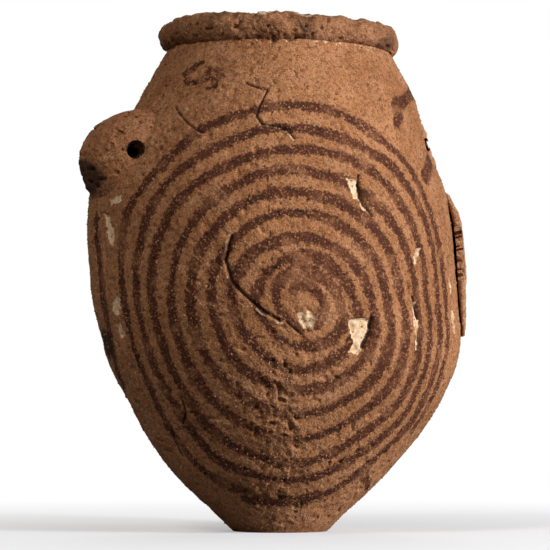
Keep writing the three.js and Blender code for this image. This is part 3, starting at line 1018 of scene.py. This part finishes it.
def cut_bore(piece, spot):
    """Drills a patch with a round rod along the wall."""
    middle, direction, _ = bore_axis(*spot)
    bpy.ops.mesh.primitive_cylinder_add(
        vertices=40, radius=BORE_RADIUS * MM, depth=2 * BORE_HALF_LENGTH * MM, location=middle * MM)
    rod = bpy.context.object
    rod.rotation_mode = "QUATERNION"
    rod.rotation_quaternion = Vector(direction).to_track_quat("Z", "Y")
    cut_away(piece, rod)
    print(piece.name, "after the bore:", len(piece.data.polygons), "faces")


print("rings and spokes of a patch:", PATCH_RINGS, PATCH_SPOKES)

# %% [markdown]
# ## The pierced lug
# A lump of clay was pressed on the left shoulder and pierced along its length with a stick, for a
# carrying cord. It rises steeply from its ends and its top, and swells gently from below.

# %% Lug
LUG_CREST_HEIGHT = 108.5
LUG_STAND_OUT = 7.8
LUG_HALF_LENGTH = 15
LUG_REACH_UP = 7
LUG_REACH_DOWN = 18
LUG_TOP_SOFTNESS = 0.5
LUG_UNDER_SOFTNESS = 1.5
LUG_FRONT_SOFTNESS = 1.5
LUG_BACK_SOFTNESS = 0.5
LUG_FRONT_FULLNESS = 2.2
LUG_BACK_FULLNESS = 4
LUG_FRONT_SQUARENESS = 0.85
LUG_BACK_SQUARENESS = 0.5
LUG_ROUGHNESS = 2.4
LUG_SKIRT = 1.1
LUG_LIFT, LUG_DIVE, LUG_ROOT = 1.3, 0.6, 1.8


def lug_shape(share, turn):
    """The lug at a share of its reach and a turn round its middle."""
    endwise = np.cos(turn) ** 2
    upper = np.sin(turn) >= 0
    is_front = np.cos(turn) > 0
    fullness = 2 + np.where(is_front, LUG_FRONT_FULLNESS, LUG_BACK_FULLNESS) * endwise - 2 * endwise
    end_softness = np.where(is_front, LUG_FRONT_SOFTNESS, LUG_BACK_SOFTNESS)
    side_softness = np.where(upper, LUG_TOP_SOFTNESS, LUG_UNDER_SOFTNESS)
    softness = side_softness * (1 - endwise) + end_softness * endwise
    swell = LUG_STAND_OUT * np.maximum(1 - share ** fullness, 0) ** softness
    squareness = np.where(is_front, LUG_FRONT_SQUARENESS, LUG_BACK_SQUARENESS)
    square_cos = np.sign(np.cos(turn)) * np.abs(np.cos(turn)) ** squareness
    along = LUG_HALF_LENGTH * share * square_cos
    up = np.where(upper, LUG_REACH_UP, LUG_REACH_DOWN) * share * np.sin(turn)
    outside = swell - LUG_DIVE + LUG_LIFT * (1 - smoothstep(0.8, LUG_SKIRT, share))
    return along, up, -LUG_ROOT + 0 * share, outside


lug = make_patch(
    "jar_left_lug", LUG_AZIMUTH, LUG_CREST_HEIGHT, lug_shape, LUG_ROUGHNESS, lug_clay, LUG_SKIRT)
cut_bore(lug, BORE_SPOTS[0])
mouth_middle, _ = bore_mouth()
bpy.ops.mesh.primitive_ico_sphere_add(subdivisions=4, radius=MOUTH_RADIUS * MM, location=mouth_middle * MM)
cut_away(lug, bpy.context.object)
pieces.append((lug, "left_lug", "lug_clay"))

# %% [markdown]
# ## The stump of the second lug
# The lug on the right broke off long ago. Its stump is low at the front and higher behind, with a
# rough, paler face where the coarse body shows, and its bore is now a slit at the jar's side.

# %% Stump
STUMP_HEIGHT = 108
STUMP_HALF_LENGTH = 15
STUMP_REACH_UP = 8
STUMP_REACH_DOWN = 9.5
STUMP_FRONT_THICKNESS = 0.9
STUMP_BACK_THICKNESS = 4.4
STUMP_BREAKAGE = 0.45
STUMP_ROUGHNESS = 2.2
STUMP_SKIRT = 1.05
STUMP_LIFT, STUMP_DIVE, STUMP_ROOT = 0.7, 0.5, 1.4


def stump_shape(share, turn):
    """The stump at a share of its reach and a turn round its middle."""
    along = STUMP_HALF_LENGTH * share * np.cos(turn)
    up = np.where(np.sin(turn) >= 0, STUMP_REACH_UP, STUMP_REACH_DOWN) * share * np.sin(turn)
    towards_back = smoothstep(-0.1 * STUMP_HALF_LENGTH, 0.5 * STUMP_HALF_LENGTH, along)
    thickness = STUMP_FRONT_THICKNESS + (STUMP_BACK_THICKNESS - STUMP_FRONT_THICKNESS) * towards_back
    dome = np.sqrt(np.maximum(1 - share ** 4, 0))
    spot = np.stack([along, up, 0 * up], axis=-1)
    broken = STUMP_BREAKAGE * noise(spot, 3.2, 91.0) * dome
    lift = STUMP_LIFT * (1 - smoothstep(0.8, STUMP_SKIRT, share))
    outside = thickness * dome + broken - STUMP_DIVE + lift
    return along, up, -STUMP_ROOT + 0 * share, outside


stump = make_patch(
    "jar_right_lug_stump", STUMP_AZIMUTH, STUMP_HEIGHT, stump_shape,
    STUMP_ROUGHNESS, broken_clay, STUMP_SKIRT)
cut_bore(stump, BORE_SPOTS[1])
pieces.append((stump, "right_lug_stump", "broken_clay"))

# %% [markdown]
# ## The lifted skin
# Salt has pushed a slab of skin off the right side of the belly. It still holds at the back. At the
# front a dark crack runs behind it, and its torn edge shows the coarse body.

# %% Lifted skin
FLAKE_AZIMUTH = math.radians(16.5)
FLAKE_TOP = 96
FLAKE_BOTTOM = 54
FLAKE_HALF_WIDTH = 19
FLAKE_TOP_THICKNESS = 0.5
FLAKE_THICKNESS = 2.3
FLAKE_BOTTOM_THICKNESS = 1.1
FLAKE_CRACK = 0.7
FLAKE_ROUGHNESS = 0.9
FLAKE_SINK = 0.5
FLAKE_EDGE_WEAR = 0.35
FLAKE_BACK_DIVE = 0.3
# Reach of the torn edge in sixteen directions, as shares of the half width and half height
FLAKE_EDGE = np.array(
    [0.86, 0.93, 0.98, 1.02, 0.96, 1.04, 1.16, 1.08, 1, 1.09, 1.26, 1.12, 0.98, 1.0, 0.9, 0.83])


def flake_shape(share, turn):
    """The lifted skin at a share of its reach and a turn round its middle."""
    place = turn / (2 * math.pi) * len(FLAKE_EDGE)
    start = np.floor(place).astype(int) % len(FLAKE_EDGE)
    part = place - np.floor(place)
    reach = FLAKE_EDGE[start] * (1 - part) + FLAKE_EDGE[(start + 1) % len(FLAKE_EDGE)] * part
    ring = polar_points(1, turn, 0 * turn)
    reach = reach * (1 + 0.03 * noise(ring, 0.12, 6.0) + 0.012 * noise(ring, 0.045, 19.0))
    across = np.clip(share * reach * np.cos(turn), -1, 1)
    rise = np.clip(share * reach * np.sin(turn), -1, 1)
    lifted = 1 - smoothstep(0.5, 1, rise)
    full = FLAKE_THICKNESS + (FLAKE_BOTTOM_THICKNESS - FLAKE_THICKNESS) * smoothstep(0, 1, -rise)
    outside = FLAKE_CRACK + FLAKE_TOP_THICKNESS + (full - FLAKE_TOP_THICKNESS) * lifted
    outside = outside - FLAKE_EDGE_WEAR * smoothstep(0.9, 1, share)
    held = outside * (1 - 0.9 * smoothstep(0.8, 1, share)) - FLAKE_BACK_DIVE
    outside = np.where(across > 0.2, held, outside)
    opened = lifted * smoothstep(-1, 0.3, -across) * smoothstep(0.5, -0.2, across)
    inside = -FLAKE_SINK + (FLAKE_CRACK + FLAKE_SINK) * opened
    return FLAKE_HALF_WIDTH * across, (FLAKE_TOP - FLAKE_BOTTOM) / 2 * rise, inside, outside


flake = make_patch(
    "jar_lifted_skin_flake", FLAKE_AZIMUTH, (FLAKE_TOP + FLAKE_BOTTOM) / 2, flake_shape,
    FLAKE_ROUGHNESS, broken_clay)
pieces.append((flake, "lifted_skin_flake", "broken_clay"))

# %% [markdown]
# ## Grains of temper
# The potter's clay held sand and crushed lime. Weather has worn the clay away between them, so
# thousands of grains stand a little proud. This is work for Geometry Nodes: points are
# scattered on the skin, more of them where it is eroded, and each carries one small rough stone.

# %% Scatter tree
GRAIN_SMALLEST = 0.11
GRAIN_LARGEST = 0.30
EXTRA_GRAINS = 3.0
GRAINS_PER_SQUARE_METRE = 170000

# Crushed lime and quartz sand: pale and dark stones, dull and dry
temper = fired_clay("lime_and_sand_temper", "#c8a582", "#8c6245", grit_height=0.05)
print("grains on each square metre:", GRAINS_PER_SQUARE_METRE)


def scatter_tree():
    """Scatters small stones over a skin, with more of them where it is gritty."""
    tree = bpy.data.node_groups.new("temper_scatter", "GeometryNodeTree")
    sockets = (  # name, kind, value where it isn't set on the modifier
        ("Skin", "Geometry", None),
        ("Density", "Float", None),
        ("Smallest", "Float", GRAIN_SMALLEST * MM),
        ("Largest", "Float", GRAIN_LARGEST * MM),
        ("Seed", "Int", None),
        ("Stone", "Material", None),
    )
    for name, kind, value in sockets:
        socket = tree.interface.new_socket(name, in_out="INPUT", socket_type="NodeSocket" + kind)
        if value:
            socket.default_value = value
    tree.interface.new_socket("Grains", in_out="OUTPUT", socket_type="NodeSocketGeometry")
    given = add_node(tree, "NodeGroupInput").outputs
    eroded = add_node(tree, "GeometryNodeInputNamedAttribute", {"Name": "gritty"}, data_type="FLOAT")
    extra = add_node(tree, "ShaderNodeMath", {
        0: eroded.outputs["Attribute"], 1: EXTRA_GRAINS, 2: 1.0}, operation="MULTIPLY_ADD")
    density = add_node(tree, "ShaderNodeMath", {
        0: given["Density"], 1: extra.outputs[0]}, operation="MULTIPLY")
    points = add_node(tree, "GeometryNodeDistributePointsOnFaces", {
        "Mesh": given["Skin"], "Density": density.outputs[0], "Seed": given["Seed"]})
    stone = add_node(tree, "GeometryNodeMeshIcoSphere", {"Radius": 1.0, "Subdivisions": 1})
    size = add_node(tree, "FunctionNodeRandomValue", {
        "Min": given["Smallest"], "Max": given["Largest"], "Seed": given["Seed"]}, data_type="FLOAT")
    stones = add_node(tree, "GeometryNodeInstanceOnPoints", {
        "Points": points.outputs["Points"], "Instance": stone.outputs["Mesh"],
        "Rotation": points.outputs["Rotation"], "Scale": size.outputs["Value"]})
    real = add_node(tree, "GeometryNodeRealizeInstances", {"Geometry": stones.outputs["Instances"]})
    coloured = add_node(tree, "GeometryNodeSetMaterial", {
        "Geometry": real.outputs["Geometry"], "Material": given["Stone"]})
    add_node(tree, "NodeGroupOutput", {"Grains": coloured.outputs["Geometry"]})
    return tree


# %% Scatter the grains
GRAIN_SEED = 11
SKIN_STEP = 2
EDGE_ROWS = 2
skin_rows = slice(EDGE_ROWS, -EDGE_ROWS, SKIN_STEP)
skin_grid = wall_grid[skin_rows, ::SKIN_STEP]
skin_marks = {"gritty": wall_marks["gritty"][skin_rows, ::SKIN_STEP]}
skin_faces = grid_faces(*skin_grid.shape[:2])
skin = make_mesh("scatter_skin", skin_grid.reshape(-1, 3), skin_faces, marks=skin_marks)
scatter = skin.modifiers.new("temper", "NODES")
scatter.node_group = scatter_tree()
settings = {"Density": float(GRAINS_PER_SQUARE_METRE), "Seed": GRAIN_SEED, "Stone": temper}
for item in scatter.node_group.interface.items_tree:
    if item.name in settings:
        scatter[item.identifier] = settings[item.name]
grains = plain_mesh(skin)
grains.name = "jar_temper_grains"
grains.data.name = "jar_temper_grains"
pieces.append((grains, None, "painted_clay"))
print("faces of the grains:", len(grains.data.polygons))

# %% [markdown]
# ## Floor, lights and camera
# The jar stands on a plain white floor. A soft lamp hangs above and to the right, and a wider one
# stands low at the same side, so the lower left falls into shade. Two more are fills: one from
# the upper left for the lug, and one behind for the other views. The floor glows a little
# for the camera alone, which keeps it white and leaves the jar's shadow on it.

# %% Floor
FLOOR_REACH = 2.5
FLOOR_DROP = 0.00005
GLOW_START, GLOW_FULL = 0.05, 0.3
GLOW_LEAST = 0.35
PAPER_FOR_JAR, PAPER_FOR_CAMERA = "#8a8a8a", "#f2f2f2"
bpy.ops.mesh.primitive_circle_add(
    vertices=96, radius=FLOOR_REACH, fill_type="NGON", location=(0, 0, -FLOOR_DROP))
floor = bpy.context.object
floor.name = "studio_floor"
paper = bpy.data.materials.new("white_paper")
paper.use_nodes = True
tree = paper.node_tree
tree.nodes.clear()
spot = add_node(tree, "ShaderNodeTexCoord").outputs["Object"]
away = add_node(tree, "ShaderNodeVectorMath", {0: spot}, operation="LENGTH").outputs["Value"]
far = add_node(tree, "ShaderNodeMapRange", {
    "Value": away, "From Min": GLOW_START, "From Max": GLOW_FULL,
    "To Min": GLOW_LEAST, "To Max": 1.0}).outputs["Result"]
glow = add_node(tree, "ShaderNodeEmission", {"Color": (1, 1, 1, 1), "Strength": 1.0})
seen = add_node(tree, "ShaderNodeLightPath").outputs["Is Camera Ray"]
tone = mix_colours(tree, seen, linear(PAPER_FOR_JAR), linear(PAPER_FOR_CAMERA))
diffuse = add_node(tree, "ShaderNodeBsdfDiffuse", {"Color": tone})
share = add_node(tree, "ShaderNodeMath", {0: far, 1: seen}, operation="MULTIPLY").outputs[0]
surface = add_node(tree, "ShaderNodeMixShader", {0: share, 1: diffuse.outputs[0], 2: glow.outputs[0]})
add_node(tree, "ShaderNodeOutputMaterial", {"Surface": surface.outputs[0]})
floor.data.materials.append(paper)
print("floor's radius, m:", FLOOR_REACH)

# %% World
WORLD_LEVEL = 0.1
WORLD_COLOUR = "#ffeadb"
world = bpy.data.worlds.new("studio")
bpy.context.scene.world = world
world.use_nodes = True
tree = world.node_tree
tree.nodes.clear()
around = add_node(tree, "ShaderNodeBackground", {"Color": linear(WORLD_COLOUR), "Strength": WORLD_LEVEL})
behind = add_node(tree, "ShaderNodeBackground", {"Color": (1, 1, 1, 1), "Strength": 1.0})
seen = add_node(tree, "ShaderNodeLightPath").outputs["Is Camera Ray"]
both = add_node(tree, "ShaderNodeMixShader", {0: seen, 1: around.outputs[0], 2: behind.outputs[0]})
add_node(tree, "ShaderNodeOutputWorld", {"Surface": both.outputs[0]})
print("light from all round:", WORLD_LEVEL)

# %% Lamps
JAR_MIDDLE = Vector((0, 0, 0.07))
DAYLIGHT, WHITE = "#f4f7ff", "#ffffff"
LAMPS = [  # name, place, width, watts, colour
    ("key", (0.68, -0.55, 0.52), 0.22, 6.2, DAYLIGHT),
    ("side", (0.88, -0.44, 0.03), 0.3, 15.0, DAYLIGHT),
    ("front_fill", (-0.42, -0.7, 0.82), 0.35, 4.4, WHITE),
    ("back_fill", (0.1, 0.95, 0.5), 0.5, 4.0, WHITE),
]


def add_lamp(name, place, width, watts, colour):
    """Adds a round area lamp that points at the jar's middle."""
    light = bpy.data.lights.new(name, "AREA")
    light.shape = "DISK"
    light.size = width
    light.energy = watts
    light.color = linear(colour)[:3]
    lamp = bpy.data.objects.new(name, light)
    lamp.location = place
    lamp.rotation_mode = "QUATERNION"
    lamp.rotation_quaternion = (JAR_MIDDLE - Vector(place)).to_track_quat("-Z", "Y")
    bpy.context.scene.collection.objects.link(lamp)


for lamp_settings in LAMPS:
    add_lamp(*lamp_settings)
print("lamps:", [lamp_settings[0] for lamp_settings in LAMPS])

# %% Camera
TARGET = Vector((-1.39, 0, 70.97)) * MM
CAMERA_DISTANCE = 0.770
LOOK_UP = math.radians(3)
PIXELS_PER_MM = 3.593
FRAME_PIXELS = 550
SENSOR = 36
view_line = Vector((0, math.cos(LOOK_UP), math.sin(LOOK_UP)))
camera_data = bpy.data.cameras.new("camera")
camera_data.sensor_width = SENSOR
camera_data.lens = PIXELS_PER_MM * CAMERA_DISTANCE / MM / FRAME_PIXELS * SENSOR
camera = bpy.data.objects.new("camera", camera_data)
camera.location = TARGET - view_line * CAMERA_DISTANCE
camera.rotation_mode = "QUATERNION"
camera.rotation_quaternion = view_line.to_track_quat("-Z", "Y")
bpy.context.scene.collection.objects.link(camera)
bpy.context.scene.camera = camera
bpy.context.scene.view_settings.view_transform = "Standard"
print("lens, mm:", round(camera_data.lens, 1))

# %% [markdown]
# ## Hand the pieces over
# Each piece stands for its solid and rides on the jar's one body.

# %% Hand over
for piece, node, slot_name in pieces:
    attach(piece, "root")
    if node:
        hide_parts(node)
    print(piece.name, "->", node)
